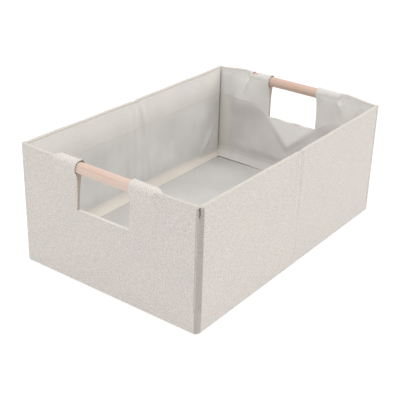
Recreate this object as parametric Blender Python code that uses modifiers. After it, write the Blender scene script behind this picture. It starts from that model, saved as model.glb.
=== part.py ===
"""Folding fabric storage bin with beech dowel handles.

The bin is an assembly: a sewn bottom, a loose base insert, two end walls with a dowel handle each,
and two long walls that fold inwards at a crease in their middle. Every wall is a board between an
outer linen cover, which is rolled over the rim and faces the top of the inside, and a lining.
Metres, +Z up. The origin is the centre of the underside. +X runs along the length.
"""

import math

import bmesh
import bpy
from mathutils import Matrix, Vector

# Driving dimensions
LENGTH = 0.380
WIDTH = 0.250
RIM_HEIGHT = 0.147
GAP = 0.0003  # air between pieces that touch on the real bin

CLOTH = 0.0009
BOARD = 0.0026
FACING_DEPTH = 0.038

# Bottom and base insert
BOTTOM_CLOTH = 0.0010
SKIRT_TOP = 0.0133
SKIRT_CORNER_RADIUS = 0.0030
BINDING_WIDTH = 0.0140
BINDING_HEIGHT = 0.0047
INSERT_LENGTH = 0.356
INSERT_WIDTH = 0.232
INSERT_TOP = 0.0130
INSERT_CORNER_RADIUS = 0.0040
INSERT_HEM = 0.025

# Hand holes, dowels and their sleeves
HOLE_HALF_WIDTH = 0.0370
HOLE_BOTTOM = 0.0910
BOARD_HOLE_ROOM = 0.0055  # the boards are cut back this far round the hand holes
DOWEL_RADIUS = 0.0065
DOWEL_LENGTH = 0.132
DOWEL_HEIGHT = 0.1425
DOWEL_END_ROUNDING = 0.0010
SLEEVE_END = 0.0695

# Room for the hinges: the long walls stop short of the corners and of the middle creases
CORNER_ROOM = 0.0065
CREASE_HALF_WIDTH = 0.0030
LINING_CREASE_ROOM = 0.0006

# Levels and thicknesses that follow from them
WALL = 2 * CLOTH + 2 * GAP + BOARD
WALL_BOTTOM = SKIRT_TOP + GAP
FACING_BOTTOM = RIM_HEIGHT - FACING_DEPTH
RIM_RADIUS = WALL / 2
BOARD_BOTTOM = WALL_BOTTOM + 2 * GAP
BOARD_TOP = RIM_HEIGHT - RIM_RADIUS
LINING_TOP = FACING_BOTTOM - GAP
END_FACE = LENGTH / 2
SIDE_FACE = WIDTH / 2
END_HALF_SPAN = SIDE_FACE - WALL + 2 * GAP
SLEEVE_BORE = DOWEL_RADIUS + GAP
SLEEVE_RADIUS = SLEEVE_BORE + CLOTH
SLEEVE_BOARD_TOP = DOWEL_HEIGHT - SLEEVE_RADIUS - GAP
BINDING_BOTTOM = BOTTOM_CLOTH + GAP
INSERT_BOTTOM = BINDING_BOTTOM + BINDING_HEIGHT + GAP

ARC_STEPS = 8
DOWEL_SIDES = 40
OVERSHOOT = 0.002  # how far a cutter reaches past what it cuts

LINEN = ("linen", (0.640, 0.590, 0.545), 0.90)
LINING = ("lining", (0.500, 0.490, 0.460), 0.75)
HINGE_CLOTH = ("hinge_cloth", (0.500, 0.470, 0.435), 0.92)
BINDING = ("binding", (0.620, 0.600, 0.560), 0.85)
BOARD_GREY = ("board", (0.330, 0.270, 0.200), 0.85)
BEECH = ("beech", (0.730, 0.500, 0.370), 0.50)


def clear_scene():
    for obj in list(bpy.data.objects):
        bpy.data.objects.remove(obj, do_unlink=True)


def new_collection(name):
    collection = bpy.data.collections.new(name)
    bpy.context.scene.collection.children.link(collection)
    return collection


def material(look):
    name, colour, roughness = look
    made = bpy.data.materials.get(name)
    if made is None:
        made = bpy.data.materials.new(name)
        made.use_nodes = True
        shader = made.node_tree.nodes["Principled BSDF"]
        shader.inputs["Base Color"].default_value = (*colour, 1.0)
        shader.inputs["Roughness"].default_value = roughness
        shader.inputs["Metallic"].default_value = 0.0
    return made


def add_object(name, mesh, collection, look=None):
    obj = bpy.data.objects.new(name, mesh)
    collection.objects.link(obj)
    if look is None:
        obj.hide_render = True
        obj.display_type = "WIRE"
    else:
        own = material(look).copy()
        own.name = f"{name}_{look[0]}"
        mesh.materials.append(own)
    return obj


def box_mesh(name, low, high):
    """A box between two opposite corners."""
    low, high = Vector(low), Vector(high)
    bm = bmesh.new()
    size = Matrix.Diagonal((*(high - low), 1.0))
    bmesh.ops.create_cube(bm, size=1.0, matrix=Matrix.Translation((low + high) / 2) @ size)
    mesh = bpy.data.meshes.new(name)
    bm.to_mesh(mesh)
    bm.free()
    return mesh


def rod_mesh(name, radius, length, centre):
    """A cylinder along Y."""
    bm = bmesh.new()
    place = Matrix.Translation(centre) @ Matrix.Rotation(math.radians(90), 4, "X")
    bmesh.ops.create_cone(
        bm,
        cap_ends=True,
        segments=DOWEL_SIDES,
        radius1=radius,
        radius2=radius,
        depth=length,
        matrix=place,
    )
    mesh = bpy.data.meshes.new(name)
    bm.to_mesh(mesh)
    bm.free()
    return mesh


def sheet_mesh(name, outline, low, high, to_point):
    """An open surface: an outline of (u, v) points drawn out from low to high."""
    bm = bmesh.new()
    first = [bm.verts.new(to_point(u, v, low)) for u, v in outline]
    last = [bm.verts.new(to_point(u, v, high)) for u, v in outline]
    for i in range(len(outline) - 1):
        bm.faces.new((first[i], first[i + 1], last[i + 1], last[i]))
    mesh = bpy.data.meshes.new(name)
    bm.to_mesh(mesh)
    bm.free()
    return mesh


def combine(obj, operation, *cutters):
    for cutter in cutters:
        boolean = obj.modifiers.new(f"{operation.lower()} {cutter.name}", "BOOLEAN")
        boolean.operation = operation
        boolean.object = cutter
        boolean.solver = "EXACT"


def thicken(obj, thickness, offset=-1.0):
    solid = obj.modifiers.new("cloth thickness", "SOLIDIFY")
    solid.thickness = thickness
    solid.offset = offset
    solid.use_even_offset = True


def round_upright_edges(obj, radius):
    """Bevels the vertical edges of a box."""
    mesh = obj.data
    weights = mesh.attributes.new("bevel_weight_edge", "FLOAT", "EDGE")
    for edge in mesh.edges:
        a, b = (mesh.vertices[i].co for i in edge.vertices)
        upright = abs(a.x - b.x) < GAP and abs(a.y - b.y) < GAP
        weights.data[edge.index].value = 1.0 if upright else 0.0
    bevel = obj.modifiers.new("rounded corners", "BEVEL")
    bevel.limit_method = "WEIGHT"
    bevel.width = radius
    bevel.segments = 4


def arc(centre, radius, start, end, steps=ARC_STEPS):
    """Points of an arc, from start to end in degrees."""
    turn = [math.radians(start + (end - start) * i / steps) for i in range(steps + 1)]
    return [(centre[0] + radius * math.cos(t), centre[1] + radius * math.sin(t)) for t in turn]


def wall_section():
    """A long wall's cover in (depth from the outer face, height): up the outside, over the rim,
    and down the inside as the facing."""
    over_rim = arc((RIM_RADIUS, RIM_HEIGHT - RIM_RADIUS), RIM_RADIUS, 180, 0)
    return [(0.0, WALL_BOTTOM), *over_rim, (WALL, FACING_BOTTOM)]


def long_wall_point(side):
    """Where a depth, a height and a place along the wall lie. side is -1 at the front, 1 at the back."""
    return lambda depth, height, along: (along, side * (SIDE_FACE - depth), height)


def long_wall_cover(name, side, low, high, parts, look):
    mesh = sheet_mesh(name, wall_section(), low, high, long_wall_point(side))
    obj = add_object(name, mesh, parts, look)
    thicken(obj, CLOTH, offset=-side)
    return obj


def between(a, b):
    return min(a, b), max(a, b)


def long_wall_layer(name, side, low, high, depth, thickness, bottom, top, parts, look):
    """A flat layer of a long wall, depth behind the outer face."""
    near, far = between(side * (SIDE_FACE - depth), side * (SIDE_FACE - depth - thickness))
    mesh = box_mesh(name, (low, near, bottom), (high, far, top))
    return add_object(name, mesh, parts, look)


def long_wall(prefix, side, end, parts):
    """Half a long wall. end is -1 for the half at the left end, 1 for the half at the right."""
    corner = END_FACE - CORNER_ROOM
    low, high = between(end * corner, end * (CREASE_HALF_WIDTH + GAP))
    long_wall_cover(f"{prefix}_cover", side, low, high, parts, LINEN)
    long_wall_layer(
        f"{prefix}_board", side, low, high, CLOTH + GAP, BOARD, BOARD_BOTTOM, BOARD_TOP, parts, BOARD_GREY
    )
    low, high = between(end * corner, end * LINING_CREASE_ROOM)
    long_wall_layer(
        f"{prefix}_lining", side, low, high, WALL - CLOTH, CLOTH, WALL_BOTTOM, LINING_TOP, parts, LINING
    )


def end_x(end, depth):
    """The X of a depth behind an end wall's outer face."""
    return end * (END_FACE - depth)


def end_box(name, end, depth_low, depth_high, span, bottom, top, collection, look=None):
    """A box in an end wall, between two depths, across Y from -span to span."""
    near, far = between(end_x(end, depth_low), end_x(end, depth_high))
    mesh = box_mesh(name, (near, -span, bottom), (far, span, top))
    return add_object(name, mesh, collection, look)


def end_rim_mesh(name, end, depth_low, depth_high, bottom, radius):
    """An end wall's outer or inner envelope: a slab whose top is a half round."""
    middle = WALL / 2
    top = RIM_HEIGHT - RIM_RADIUS
    outline = [(depth_low, bottom), *arc((middle, top), radius, 180, 0), (depth_high, bottom)]
    bm = bmesh.new()
    rings = []
    for y in (-END_HALF_SPAN, END_HALF_SPAN):
        grow = 0.0 if radius == RIM_RADIUS else math.copysign(OVERSHOOT, y)
        rings.append([bm.verts.new((end_x(end, d), y + grow, h)) for d, h in outline])
    count = len(outline)
    for i in range(count):
        after = (i + 1) % count
        bm.faces.new((rings[0][i], rings[0][after], rings[1][after], rings[1][i]))
    bm.faces.new(rings[0])
    bm.faces.new(rings[1])
    bmesh.ops.recalc_face_normals(bm, faces=bm.faces)
    mesh = bpy.data.meshes.new(name)
    bm.to_mesh(mesh)
    bm.free()
    return mesh


def sleeve_rods(prefix, end, radius, reach, cutters):
    """Both sleeves of an end wall as two rods, each reaching past the sleeve's ends by reach."""
    middle = (HOLE_HALF_WIDTH + SLEEVE_END) / 2
    length = SLEEVE_END - HOLE_HALF_WIDTH + 2 * reach
    centre_x = end_x(end, WALL / 2)
    return [
        add_object(
            f"{prefix}_{word}",
            rod_mesh(f"{prefix}_{word}", radius, length, (centre_x, side * middle, DOWEL_HEIGHT)),
            cutters,
        )
        for word, side in (("front", -1), ("back", 1))
    ]


def end_cover(prefix, end, parts, cutters):
    """Outer cloth, rolled rim, facing, hand-hole edge and sleeves of an end wall, in one piece."""
    name = f"{prefix}_cover"
    cover = add_object(name, end_rim_mesh(name, end, 0.0, WALL, WALL_BOTTOM, RIM_RADIUS), parts, LINEN)
    above = RIM_HEIGHT + SLEEVE_RADIUS

    def cutter(word, *sizes):
        return end_box(f"{prefix}_{word}", end, *sizes, cutters)

    shoulder = cutter(
        "shoulder_cut", -OVERSHOOT, WALL + OVERSHOOT, SLEEVE_END + GAP, DOWEL_HEIGHT, above
    )
    combine(cover, "DIFFERENCE", shoulder)
    combine(cover, "UNION", *sleeve_rods(f"{prefix}_sleeve", end, SLEEVE_RADIUS, 0.0, cutters))
    combine(cover, "DIFFERENCE", *sleeve_rods(f"{prefix}_bore", end, SLEEVE_BORE, OVERSHOOT, cutters))

    # the pocket that holds the board, under the rolled rim and under the sleeves
    pocket_mesh = end_rim_mesh(
        f"{prefix}_pocket", end, CLOTH, WALL - CLOTH, WALL_BOTTOM - OVERSHOOT, RIM_RADIUS - CLOTH
    )
    pocket = add_object(f"{prefix}_pocket", pocket_mesh, cutters)
    no_pocket = cutter(
        "pocket_top_stop", -OVERSHOOT, WALL + OVERSHOOT, SLEEVE_END + CLOTH, SLEEVE_BOARD_TOP + GAP, above
    )
    hole_edge = cutter(
        "pocket_hole_stop", -OVERSHOOT, WALL + OVERSHOOT, HOLE_HALF_WIDTH + CLOTH, HOLE_BOTTOM - CLOTH, above
    )
    combine(pocket, "DIFFERENCE", no_pocket, hole_edge)
    combine(cover, "DIFFERENCE", pocket)

    below_facing = cutter(
        "below_facing", WALL - CLOTH - GAP, WALL + OVERSHOOT, END_HALF_SPAN + OVERSHOOT,
        WALL_BOTTOM - OVERSHOOT, FACING_BOTTOM,
    )
    keep_hole_edge = cutter(
        "hole_edge_keep", 0.0, WALL + 2 * OVERSHOOT, HOLE_HALF_WIDTH + CLOTH, HOLE_BOTTOM - CLOTH, above
    )
    combine(below_facing, "DIFFERENCE", keep_hole_edge)
    hole = cutter("hole_cut", -OVERSHOOT, WALL + OVERSHOOT, HOLE_HALF_WIDTH, HOLE_BOTTOM, above)
    combine(cover, "DIFFERENCE", below_facing, hole)
    return cover


def end_board(prefix, end, parts, cutters):
    name = f"{prefix}_board"
    depth = CLOTH + GAP
    span = END_HALF_SPAN - GAP
    board = end_box(name, end, depth, depth + BOARD, span, BOARD_BOTTOM, BOARD_TOP, parts, BOARD_GREY)
    sizes = (depth - OVERSHOOT, depth + BOARD + OVERSHOOT)
    shoulder = end_box(
        f"{name}_shoulder_cut", end, *sizes, SLEEVE_END + CLOTH + GAP, SLEEVE_BOARD_TOP, RIM_HEIGHT, cutters
    )
    hole_room = HOLE_HALF_WIDTH + BOARD_HOLE_ROOM
    hole = end_box(
        f"{name}_hole_cut", end, *sizes, hole_room, HOLE_BOTTOM - BOARD_HOLE_ROOM, RIM_HEIGHT, cutters
    )
    combine(board, "DIFFERENCE", shoulder, hole)
    return board


def end_lining(prefix, end, parts, cutters):
    name = f"{prefix}_lining"
    span = END_HALF_SPAN - 2 * GAP
    lining = end_box(name, end, WALL - CLOTH, WALL, span, WALL_BOTTOM, LINING_TOP, parts, LINING)
    hole_room = HOLE_HALF_WIDTH + CLOTH + GAP
    hole = end_box(
        f"{name}_hole_cut", end, WALL - 2 * CLOTH, WALL + OVERSHOOT, hole_room,
        HOLE_BOTTOM - CLOTH - GAP, RIM_HEIGHT, cutters,
    )
    combine(lining, "DIFFERENCE", hole)
    return lining


def dowel(name, end, parts):
    """A beech rod. Its origin is on its own axis, which it turns about."""
    rod = add_object(name, rod_mesh(name, DOWEL_RADIUS, DOWEL_LENGTH, (0.0, 0.0, 0.0)), parts, BEECH)
    rod.location = (end_x(end, WALL / 2), 0.0, DOWEL_HEIGHT)
    bevel = rod.modifiers.new("eased ends", "BEVEL")
    bevel.width = DOWEL_END_ROUNDING
    bevel.segments = 2
    bevel.limit_method = "ANGLE"
    bevel.angle_limit = math.radians(60)
    rod.data.shade_smooth()
    rod.data.set_sharp_from_angle(angle=math.radians(40))
    return rod


def corner_hinge(name, end, side, parts):
    """The cloth between the boards at a corner: a shallow hollow from the end face to the long face."""
    half_cloth = CLOTH / 2
    start = Vector((END_FACE - half_cloth, END_HALF_SPAN + GAP + half_cloth))
    finish = Vector((END_FACE - CORNER_ROOM + GAP + half_cloth, SIDE_FACE - half_cloth))
    inwards = (start - finish).orthogonal().normalized()
    if inwards.dot(Vector((1.0, 1.0))) > 0:
        inwards = -inwards
    hollow = 0.0010
    outline = []
    for i in range(ARC_STEPS + 1):
        t = i / ARC_STEPS
        outline.append(start.lerp(finish, t) + inwards * hollow * math.sin(math.pi * t))
    mesh = sheet_mesh(
        name, outline, WALL_BOTTOM, BOARD_TOP, lambda u, v, height: (end * u, side * v, height)
    )
    hinge = add_object(name, mesh, parts, HINGE_CLOTH)
    thicken(hinge, CLOTH, offset=0.0)
    return hinge


def bottom_cloth(parts):
    """The sewn bottom: an open tray of cloth."""
    name = "bottom_cloth"
    mesh = box_mesh(name, (-END_FACE, -SIDE_FACE, 0.0), (END_FACE, SIDE_FACE, SKIRT_TOP))
    bm = bmesh.new()
    bm.from_mesh(mesh)
    lid = [face for face in bm.faces if face.normal.z > 0.5]
    bmesh.ops.delete(bm, geom=lid, context="FACES_ONLY")
    bm.to_mesh(mesh)
    bm.free()
    tray = add_object(name, mesh, parts, LINEN)
    round_upright_edges(tray, SKIRT_CORNER_RADIUS)
    thicken(tray, BOTTOM_CLOTH)
    return tray


def seam_binding(parts, cutters):
    """The bound seam allowance that runs round the inside of the bottom."""
    name = "bottom_seam_binding"
    x = END_FACE - BOTTOM_CLOTH - GAP
    y = SIDE_FACE - BOTTOM_CLOTH - GAP
    top = BINDING_BOTTOM + BINDING_HEIGHT
    ring = add_object(name, box_mesh(name, (-x, -y, BINDING_BOTTOM), (x, y, top)), parts, BINDING)
    round_upright_edges(ring, SKIRT_CORNER_RADIUS)
    inner = box_mesh(
        f"{name}_cut",
        (-x + BINDING_WIDTH, -y + BINDING_WIDTH, BINDING_BOTTOM - OVERSHOOT),
        (x - BINDING_WIDTH, y - BINDING_WIDTH, top + OVERSHOOT),
    )
    combine(ring, "DIFFERENCE", add_object(f"{name}_cut", inner, cutters))
    return ring


def centred_box(name, half_x, half_y, bottom, top, collection, look=None):
    mesh = box_mesh(name, (-half_x, -half_y, bottom), (half_x, half_y, top))
    return add_object(name, mesh, collection, look)


def base_insert(parts, cutters):
    """The loose floor of the bin: a board wrapped in cloth, which is hemmed under the board's edge."""
    half_x, half_y = INSERT_LENGTH / 2, INSERT_WIDTH / 2
    cover = centred_box("base_cover", half_x, half_y, INSERT_BOTTOM, INSERT_TOP, parts, LINING)
    round_upright_edges(cover, INSERT_CORNER_RADIUS)
    room_x, room_y = half_x - CLOTH, half_y - CLOTH
    room = centred_box(
        "base_cover_room", room_x, room_y, INSERT_BOTTOM + CLOTH, INSERT_TOP - CLOTH, cutters
    )
    round_upright_edges(room, INSERT_CORNER_RADIUS - CLOTH)
    opening = centred_box(
        "base_cover_opening", half_x - INSERT_HEM, half_y - INSERT_HEM,
        INSERT_BOTTOM - OVERSHOOT, INSERT_BOTTOM + 2 * CLOTH, cutters,
    )
    combine(cover, "DIFFERENCE", room, opening)
    board = centred_box(
        "base_board", room_x - GAP, room_y - GAP,
        INSERT_BOTTOM + CLOTH + GAP, INSERT_TOP - CLOTH - GAP, parts, BOARD_GREY,
    )
    round_upright_edges(board, INSERT_CORNER_RADIUS - CLOTH - GAP)


def main():
    clear_scene()
    parts = new_collection("fabric_storage_bin")
    cutters = new_collection("cutters")
    bottom_cloth(parts)
    seam_binding(parts, cutters)
    base_insert(parts, cutters)
    for end_word, end in (("left", -1), ("right", 1)):
        end_cover(f"{end_word}_end", end, parts, cutters)
        end_board(f"{end_word}_end", end, parts, cutters)
        end_lining(f"{end_word}_end", end, parts, cutters)
        dowel(f"{end_word}_dowel", end, parts)
        for side_word, side in (("front", -1), ("back", 1)):
            long_wall(f"{side_word}_{end_word}", side, end, parts)
            corner_hinge(f"corner_hinge_{side_word}_{end_word}", end, side, parts)
    for side_word, side in (("front", -1), ("back", 1)):
        long_wall_cover(
            f"crease_hinge_{side_word}", side, -CREASE_HALF_WIDTH, CREASE_HALF_WIDTH, parts, HINGE_CLOTH
        )


main()
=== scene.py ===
"""Looks of the folding fabric bin: woven linen covers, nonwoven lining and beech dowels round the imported
frame. Metres, +Z up, in the frame's own axes: -X is the left end wall, -Y the front long wall."""

import math

import bmesh
import bpy
import numpy as np
from mathutils import Matrix, Vector, noise


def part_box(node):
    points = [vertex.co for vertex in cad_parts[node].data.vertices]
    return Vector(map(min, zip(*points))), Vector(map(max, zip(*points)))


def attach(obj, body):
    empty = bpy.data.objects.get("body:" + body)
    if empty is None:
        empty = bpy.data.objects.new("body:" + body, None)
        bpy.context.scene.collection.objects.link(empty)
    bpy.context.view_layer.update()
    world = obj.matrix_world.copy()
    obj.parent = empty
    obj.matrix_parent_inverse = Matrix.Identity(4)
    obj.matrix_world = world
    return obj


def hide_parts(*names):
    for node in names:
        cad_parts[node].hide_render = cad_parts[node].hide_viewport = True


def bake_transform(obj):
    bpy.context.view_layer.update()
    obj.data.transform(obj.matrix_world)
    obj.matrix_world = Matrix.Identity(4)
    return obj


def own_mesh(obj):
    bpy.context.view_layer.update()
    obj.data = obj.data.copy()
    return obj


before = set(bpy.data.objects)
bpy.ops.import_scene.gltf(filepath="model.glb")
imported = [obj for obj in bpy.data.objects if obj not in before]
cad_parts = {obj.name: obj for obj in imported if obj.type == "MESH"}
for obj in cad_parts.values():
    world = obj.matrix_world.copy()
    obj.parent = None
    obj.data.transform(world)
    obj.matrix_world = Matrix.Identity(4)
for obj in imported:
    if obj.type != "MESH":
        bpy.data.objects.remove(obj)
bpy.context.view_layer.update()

MM = 0.001

# Sizes read from the frame
END_FACE, SIDE_FACE, SKIRT_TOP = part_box("bottom_cloth")[1]
COVER_LOW, COVER_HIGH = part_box("front_left_cover")
RIM_HEIGHT = COVER_HIGH[2]
WALL = COVER_HIGH[1] - COVER_LOW[1]
WALL_BOTTOM = COVER_LOW[2]
SIDE_WALL_END = -COVER_LOW[0]
FACING_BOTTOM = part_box("front_left_lining")[1][2]
END_WALL_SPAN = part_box("left_end_cover")[1][1]
DOWEL_LOW, DOWEL_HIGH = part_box("left_dowel")
DOWEL_RADIUS = (DOWEL_HIGH[0] - DOWEL_LOW[0]) / 2
DOWEL_HEIGHT = (DOWEL_HIGH[2] + DOWEL_LOW[2]) / 2
DOWEL_HALF = DOWEL_HIGH[1]
INSERT_LOW, INSERT_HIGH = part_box("base_cover")

# Sizes of the cloth work
CLOTH = 0.9 * MM
LINING_CLOTH = 0.8 * MM
BOTTOM_CLOTH = 1.0 * MM
INSERT_CLOTH = 0.85 * MM
RIM_RADIUS = WALL / 2
SEAM = 0.05 * MM  # what is left open between the walls and the bottom
WALL_FOOT = SKIRT_TOP + SEAM
RIM_SPRING = RIM_HEIGHT - RIM_RADIUS  # where the round of the rim starts
COVER_RUN = 2 * RIM_SPRING - WALL_FOOT - FACING_BOTTOM + math.pi * RIM_RADIUS  # linen, foot to hem
HOLE_HALF_WIDTH = 37 * MM
HOLE_BOTTOM = 91 * MM
HOLE_SKEW = 4.2 * MM
SLEEVE_RADIUS = DOWEL_RADIUS + 1.2 * MM
SLEEVE_BULGE = SLEEVE_RADIUS - RIM_RADIUS
SLEEVE_END = DOWEL_HALF + 0.5 * MM
RIM_START = SLEEVE_END + 9 * MM  # here the crest has come down to the plain rim
HEM_BULGE = 3.2 * MM  # how far the facing's hem hangs clear of an end wall's board
FACING_SLOPE_END = 62 * MM
PAINTED_LIGHT_HEIGHTS = (90 * MM, 113 * MM)  # heights over which the lining is painted a lighter tone towards its top, a painted light
BAND_TOP = 26 * MM
BAND_DROP = 5.5 * MM  # how much lower the back wall's band is at its right end
BAND_FOOT = INSERT_HIGH[2] + 0.3 * MM
BAND_ROWS = (BAND_FOOT, 8, BAND_TOP - 0.4 * MM, 2, BAND_TOP + 0.4 * MM)
SIDE_FLARE = SIDE_FACE - WALL - INSERT_HIGH[1] + 1.2 * MM  # it laps over the base insert's edge
END_FLARE = END_FACE - WALL - INSERT_HIGH[0] - 0.1 * MM  # it stops short of it at the back
STRIP_START = END_WALL_SPAN - 17 * MM
HINGE_EDGE = 0.05 * MM
FOLD_LINE = 0.4  # where a corner's cloth folds inwards, as a share of its width
POINT_DEPTH = 36 * MM  # of the slack point under a hand hole

# Rows of a wall's section: up the outside, over the rim, down the facing
RIM_ROW = 46
FACING_ROW = RIM_ROW + 14
FACING_ROWS = 13
CREST_POINTS = 25  # of an end wall's section beside the hole, in each of these three parts

# Numbers of the materials after a cover's linen, rim and facing: an end wall's, and the near corner's
RAW, FOLD, CREST = 3, 4, 5
# DARK is the near corner's slit material, a painted shadow
DARK = 3


# ---------------- small helpers


def smooth(low, high, x):
    t = np.clip((np.asarray(x, float) - low) / (high - low), 0.0, 1.0)
    return t * t * (3 - 2 * t)


def bell(x, centre, width):
    return np.exp(-(((x - centre) / width) ** 2))


def ripple(a, b, size_a, size_b, seed):
    """Smooth noise over a sheet, about -0.5 to 0.5. size_a and size_b are its grain along a and b."""
    out = [noise.noise(Vector((p / size_a, q / size_b, seed))) for p, q in zip(a.ravel(), b.ravel())]
    return np.array(out).reshape(a.shape)


def steps(*stops):
    """Numbers through the stops: (start, count, next, count, ..., last)."""
    values = [stops[0]]
    for count, stop in zip(stops[1::2], stops[2::2]):
        values += list(np.linspace(values[-1], stop, count + 1)[1:])
    return np.array(values)


def lattice(rows, columns):
    return np.meshgrid(rows, columns, indexing="ij")


def mirrored(half):
    """Places on both sides of 0, from those on one side."""
    return np.concatenate([-half[:0:-1], half])


def travelled(*coordinates):
    """Length along a path given by its coordinates."""
    legs = np.sqrt(sum(np.diff(c) ** 2 for c in coordinates))
    return np.concatenate([[0.0], np.cumsum(legs)])


def plain(points):
    return np.zeros((points.shape[0] - 1, points.shape[1] - 1), int)


def sheet_mesh(name, grids, join=1e-6):
    """One mesh from grids of (points, uv, flipped, look). Points closer than join become one.

    look gives each face's material by its row and column, or -1 where the cloth is cut away."""
    verts, faces, loops_uv, looks = [], [], [], []
    for points, uv, flipped, look in grids:
        rows, cols = points.shape[:2]
        start = len(verts)
        verts += [tuple(p) for p in points.reshape(-1, 3)]
        flat_uv = uv.reshape(-1, 2)
        for i in range(rows - 1):
            for j in range(cols - 1):
                if look[i, j] < 0:
                    continue
                looks.append(look[i, j])
                corner = [i * cols + j, i * cols + j + 1, (i + 1) * cols + j + 1, (i + 1) * cols + j]
                if flipped:
                    corner.reverse()
                faces.append([start + k for k in corner])
                loops_uv += [tuple(flat_uv[k]) for k in corner]
    mesh = bpy.data.meshes.new(name)
    mesh.from_pydata(verts, [], faces)
    layer = mesh.uv_layers.new(name="weave")
    layer.data.foreach_set("uv", np.array(loops_uv, np.float32).ravel())
    mesh.polygons.foreach_set("material_index", np.array(looks, np.int32))
    bm = bmesh.new()
    bm.from_mesh(mesh)
    bmesh.ops.remove_doubles(bm, verts=bm.verts, dist=join)
    bmesh.ops.dissolve_degenerate(bm, edges=bm.edges, dist=1e-7)
    bm.to_mesh(mesh)
    bm.free()
    mesh.shade_smooth()
    return mesh


def flat_mesh(name, corners):
    mesh = bpy.data.meshes.new(name)
    mesh.from_pydata(corners, [], [(0, 1, 2, 3)])
    return mesh


def add_object(name, data, *looks):
    obj = bpy.data.objects.new(name, data)
    bpy.context.scene.collection.objects.link(obj)
    for look in looks:
        data.materials.append(look)
    return obj


def evaluated(obj):
    return obj.evaluated_get(bpy.context.evaluated_depsgraph_get())


def thicken(obj, thickness):
    """The sheet's own face stays where it is, and its thickness is behind it."""
    solid = obj.modifiers.new("cloth thickness", "SOLIDIFY")
    solid.thickness = thickness
    solid.offset = -1.0
    solid.use_even_offset = False
    mesh = bpy.data.meshes.new_from_object(evaluated(obj))
    obj.modifiers.clear()
    obj.data = mesh
    mesh.set_sharp_from_angle(angle=math.radians(50))
    return obj


# ---------------- cloth that hangs off a wall

HUNG_STEP = 5 * MM
HUNG_FRAMES = 30
HUNG_SCALE = 10.0  # the cloth is settled this much larger, clear of Blender's smallest distances
HUNG_MOST = 3.4 * MM
HUNG_BOARD = (4.0, -0.012)  # the enlarged board's half size, and how far it is behind the cloth


class HungCloth:
    """Slack cloth on a wall, sewn down round its edges and where sewn says, settled under its own weight.

    at gives how far it stands off the wall."""

    def __init__(self, half, top, sewn, slack, seed):
        spans = ((-half, half), (BAND_TOP, top))
        counts = (round((high - low) / HUNG_STEP) + 1 for low, high in spans)
        self.along, self.height = (np.linspace(*span, count) for span, count in zip(spans, counts))
        z, x = lattice(self.height, self.along)
        away = np.abs(x)
        edge = (away > half - 1 * MM) | (z < BAND_TOP + 1 * MM) | (z > top - 1 * MM)
        loose = 1.0 - (edge | sewn(away, z))
        start = (1.0 * MM + 0.8 * MM * ripple(x, z, 30 * MM, 40 * MM, seed)) * loose
        self.depth = self.settled(x, z, start, loose, slack)
        self.depth = HUNG_MOST * np.tanh(np.maximum(self.depth, 0) / HUNG_MOST)
        for _ in range(2):
            padded = np.pad(self.depth, 1, mode="edge")
            rows = (padded[:-2] + 2 * padded[1:-1] + padded[2:]) / 4
            self.depth = (rows[:, :-2] + 2 * rows[:, 1:-1] + rows[:, 2:]) / 4

    def settled(self, x, z, start, loose, slack):
        rows, cols = x.shape
        points = np.stack([x, start, z], -1).reshape(-1, 3) * HUNG_SCALE
        corners = [i * cols + j for i in range(rows - 1) for j in range(cols - 1)]
        mesh = bpy.data.meshes.new("hung")
        mesh.from_pydata(points.tolist(), [], [(k, k + 1, k + cols + 1, k + cols) for k in corners])
        sheet = add_object("hung", mesh)
        group = sheet.vertex_groups.new(name="held")
        group.add([int(k) for k in np.nonzero(loose.ravel() < 0.5)[0]], 1.0, "REPLACE")
        size, behind = HUNG_BOARD
        corners = ((size, -size), (-size, -size), (-size, size), (size, size))
        board = flat_mesh("board", [(across, behind, up) for across, up in corners])
        wall = add_object("board", board)
        wall.modifiers.new("collision", "COLLISION")
        wall.collision.thickness_outer = 0.002
        cloth = sheet.modifiers.new("cloth", "CLOTH")
        cloth.point_cache.frame_end = HUNG_FRAMES
        cloth.collision_settings.distance_min = 0.004
        settings = cloth.settings
        settings.quality = 6
        settings.mass = 0.2
        settings.tension_stiffness = settings.compression_stiffness = 20
        settings.shear_stiffness = 6
        settings.bending_stiffness = 0.6
        settings.vertex_group_mass = "held"
        settings.shrink_min = -slack
        settings.effector_weights.gravity = 0.3
        for number in range(1, HUNG_FRAMES + 1):
            bpy.context.scene.frame_set(number)
        depth = np.array([point.co.y for point in evaluated(sheet).data.vertices]) / HUNG_SCALE
        for obj, data in ((sheet, mesh), (wall, board)):
            bpy.data.objects.remove(obj)
            bpy.data.meshes.remove(data)
        bpy.context.scene.frame_set(1)
        return depth.reshape(rows, cols)

    def at(self, along, height):
        places = []
        for values, grid in ((along, self.along), (height, self.height)):
            share = np.clip((values - grid[0]) / (grid[-1] - grid[0]), 0, 1) * (len(grid) - 1)
            whole = np.minimum(share.astype(int), len(grid) - 2)
            places += [whole, share - whole]
        j, v, i, u = places
        low = self.depth[i, j] * (1 - v) + self.depth[i, j + 1] * v
        high = self.depth[i + 1, j] * (1 - v) + self.depth[i + 1, j + 1] * v
        return low * (1 - u) + high * u


def at_crease(away, height):
    return away < 1 * MM


def round_hole(away, height):
    return (away < HOLE_HALF_WIDTH + 2 * MM) & (height > HOLE_BOTTOM - 3 * MM)


# ---------------- materials


def set_inputs(node, values):
    for socket, value in values.items():
        node.inputs[socket].default_value = value


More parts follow.
